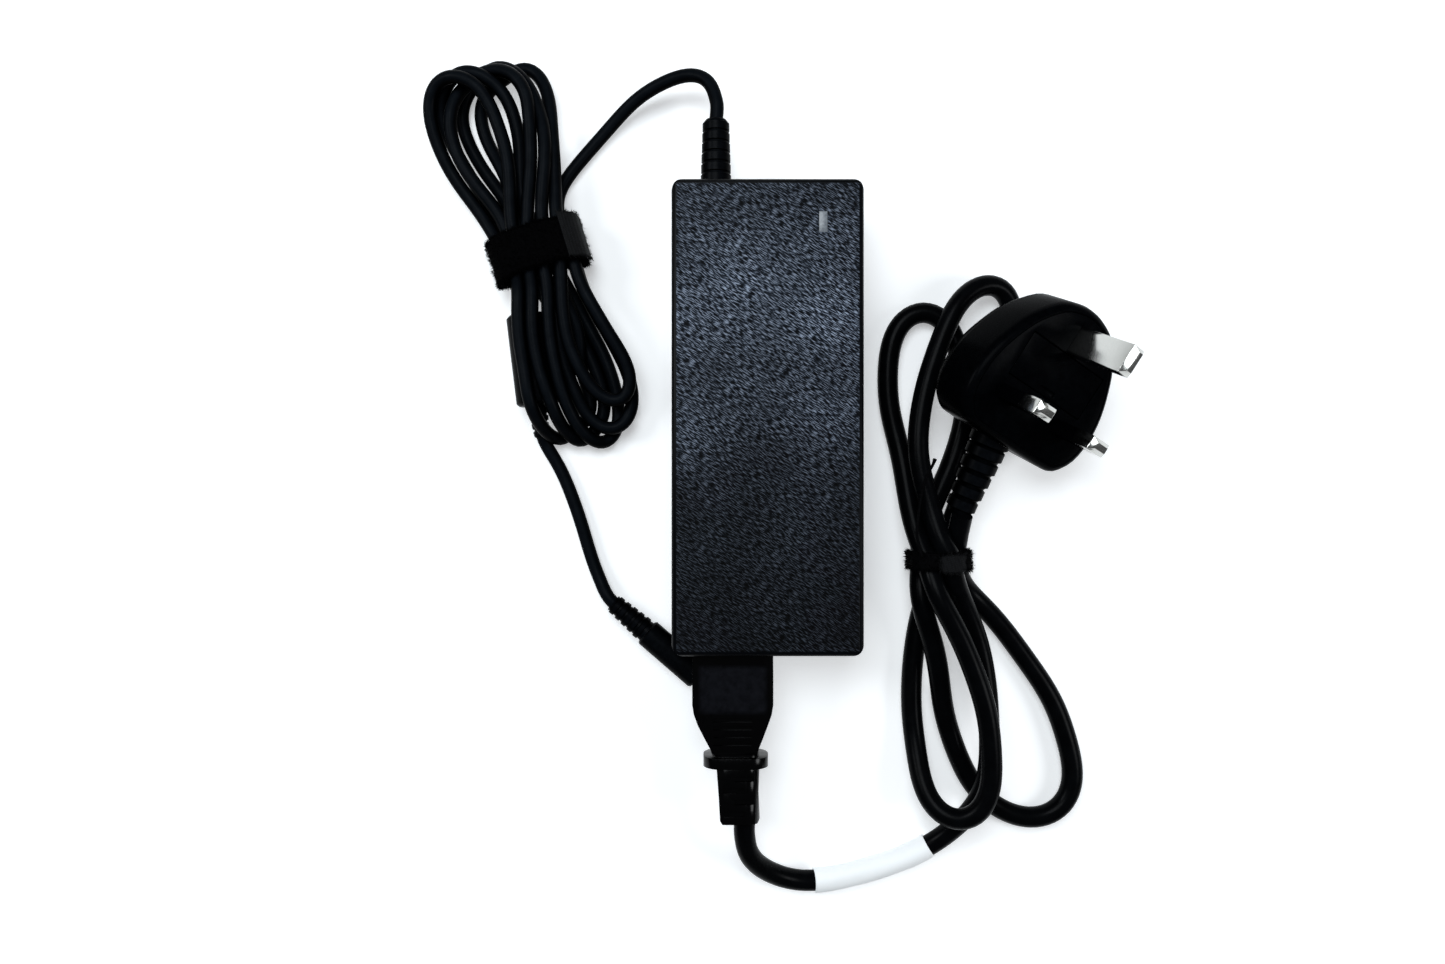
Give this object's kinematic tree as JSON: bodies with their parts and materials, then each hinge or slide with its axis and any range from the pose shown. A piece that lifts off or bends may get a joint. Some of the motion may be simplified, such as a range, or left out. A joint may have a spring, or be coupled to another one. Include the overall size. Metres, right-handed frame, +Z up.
{
  "type": "laptop power adapter",
  "caption": "Black power brick with a status light, a strapped low-voltage lead with ferrite and barrel plug, and a detachable mains lead with a fused three-pin plug.",
  "frame": {"origin": "centre of the brick's underside", "axes": "+Y along the brick towards the low-voltage outlet, +Z up, +X to the right seen from above with the outlet at the top"},
  "size_m": [0.1951, 0.2445, 0.0507],
  "materials": {
    "shell_black": "fine spark-eroded texture, satin",
    "light_pipe": "translucent light grey",
    "led_white": "clear",
    "board_green": "solder mask",
    "insulation": "thin film",
    "aluminium": "rolled",
    "inlet_black": "moulded",
    "plated_pin": "bright nickel plate",
    "fuse_body": "ceramic tube with end caps",
    "ferrite": "sintered",
    "copper": "enamelled copper wire",
    "capacitor_yellow": "moulded box",
    "capacitor_sleeve": "shrink sleeve",
    "capacitor_blue": "dipped",
    "chip_black": "moulded epoxy",
    "tape_yellow": "polyester tape",
    "wire_red": "wire insulation",
    "soft_black": "moulded soft plastic, satin",
    "cord_black": "smooth cord jacket, satin",
    "mains_cord_black": "smooth cord jacket, slightly glossy",
    "mains_black": "moulded soft plastic, satin",
    "strap_black": "hook-and-loop strap with fuzzy loop pile and a woven tab",
    "tie_black": "frayed thin tie",
    "wrap_white": "bare white wrap",
    "plug_black": "satin moulding",
    "sleeve_black": "moulded sleeve",
    "brass": "stamped"
  },
  "bodies": {
    "brick": {"top_shell": "shell_black", "bottom_shell": "shell_black", "led_light_pipe": "light_pipe", "status_led": "led_white", "circuit_board": "board_green", "insulation_sheet": "insulation", "heat_spreader": "aluminium", "inlet_housing": "inlet_black", "inlet_pins": "plated_pin", "input_fuse": "fuse_body", "filter_choke_core": "ferrite", "filter_choke_winding": "copper", "x_capacitor": "capacitor_yellow", "bridge_rectifier": "chip_black", "bulk_capacitor": "capacitor_sleeve", "transformer_core": "ferrite", "transformer_winding": "tape_yellow", "switch_transistor": "chip_black", "switch_heatsink": "aluminium", "output_rectifier": "chip_black", "output_heatsink": "aluminium", "output_capacitors": "capacitor_sleeve", "y_capacitor": "capacitor_blue", "optocoupler": "chip_black", "controller_chip": "chip_black", "output_wires": "wire_red", "dc_strain_relief": "soft_black", "dc_cord_lead": "cord_black", "dc_cord_hank": "cord_black", "cable_strap": "strap_black", "ferrite_cover": "soft_black", "ferrite_core": "ferrite", "dc_cord_tail": "cord_black", "dc_plug_boot": "soft_black", "dc_plug_body": "soft_black", "dc_plug_barrel": "plated_pin", "barrel_insulator": "inlet_black", "centre_pin": "plated_pin"},
    "mains_lead": {"appliance_connector": "mains_black", "connector_nose": "inlet_black", "connector_contacts": "brass", "connector_strain_relief": "mains_black", "mains_cord": "mains_cord_black", "cord_wrap": "wrap_white", "twist_tie": "tie_black", "plug_body": "plug_black", "plug_base": "plug_black", "plug_strain_relief": "mains_black", "earth_pin": "plated_pin", "live_pin": "plated_pin", "neutral_pin": "plated_pin", "pin_sleeves": "sleeve_black", "fuse_clips": "brass"},
    "fuse_drawer": {"fuse_carrier": "plug_black", "cartridge_fuse": "fuse_body"}
  },
  "joints": [
    {"name": "mains_lead_unplug", "type": "slide", "parent": "brick", "child": "mains_lead", "axis": [0, -1, 0], "range_m": [0, 0.014]},
    {"name": "fuse_carrier_slide", "type": "slide", "parent": "mains_lead", "child": "fuse_drawer", "axis": [0.3528, -0.338, 0.8725], "range_m": [0, 0.012]}
  ]
}
